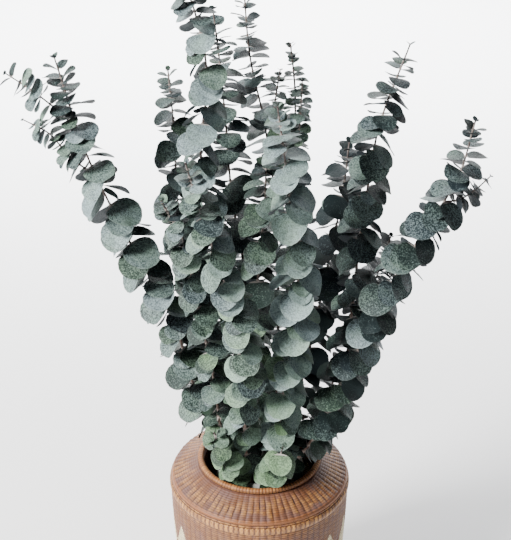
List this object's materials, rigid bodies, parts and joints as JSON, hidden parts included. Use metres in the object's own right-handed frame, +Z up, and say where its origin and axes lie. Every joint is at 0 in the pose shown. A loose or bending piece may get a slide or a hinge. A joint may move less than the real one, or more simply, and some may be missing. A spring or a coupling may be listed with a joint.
{
  "type": "eucalyptus branches in woven vase",
  "caption": "Tall bouquet of round-leaved eucalyptus branches standing in a round woven cane vase with a sloping shoulder and an inner liner.",
  "frame": {"origin": "middle of the vase's underside, on the surface that it stands on", "axes": "+Z up, -Y towards the viewer of the picture, +X to the viewer's right"},
  "size_m": [0.4616, 0.2602, 0.8013],
  "materials": {
    "woven_cane": "woven split cane, stained brown, satin",
    "plaited_cane": "plaited split cane, orange brown, satin",
    "liner": "plain cream liner",
    "eucalyptus": "waxy blue-green leaves with a pale bloom on thin brown stems"
  },
  "bodies": {
    "root": {"vase_wall": "woven_cane", "vase_shoulder": "woven_cane", "mouth_ring": "woven_cane", "foot_band": "woven_cane", "plaited_band": "plaited_cane", "vase_liner": "liner", "stem_front_right": "eucalyptus", "stem_front_left": "eucalyptus", "stem_far_left": "eucalyptus", "stem_far_right": "eucalyptus", "stem_right": "eucalyptus", "stem_back_left": "eucalyptus", "stem_tall_left": "eucalyptus", "stem_tall_middle": "eucalyptus", "stem_top_centre": "eucalyptus", "stem_right_dark": "eucalyptus", "stem_centre": "eucalyptus", "stem_inner_left": "eucalyptus", "stem_short_right": "eucalyptus", "stem_small_leaved": "eucalyptus", "sprig_mouth_left": "eucalyptus", "sprig_mouth_front": "eucalyptus", "sprig_mouth_right": "eucalyptus"}
  },
  "joints": []
}
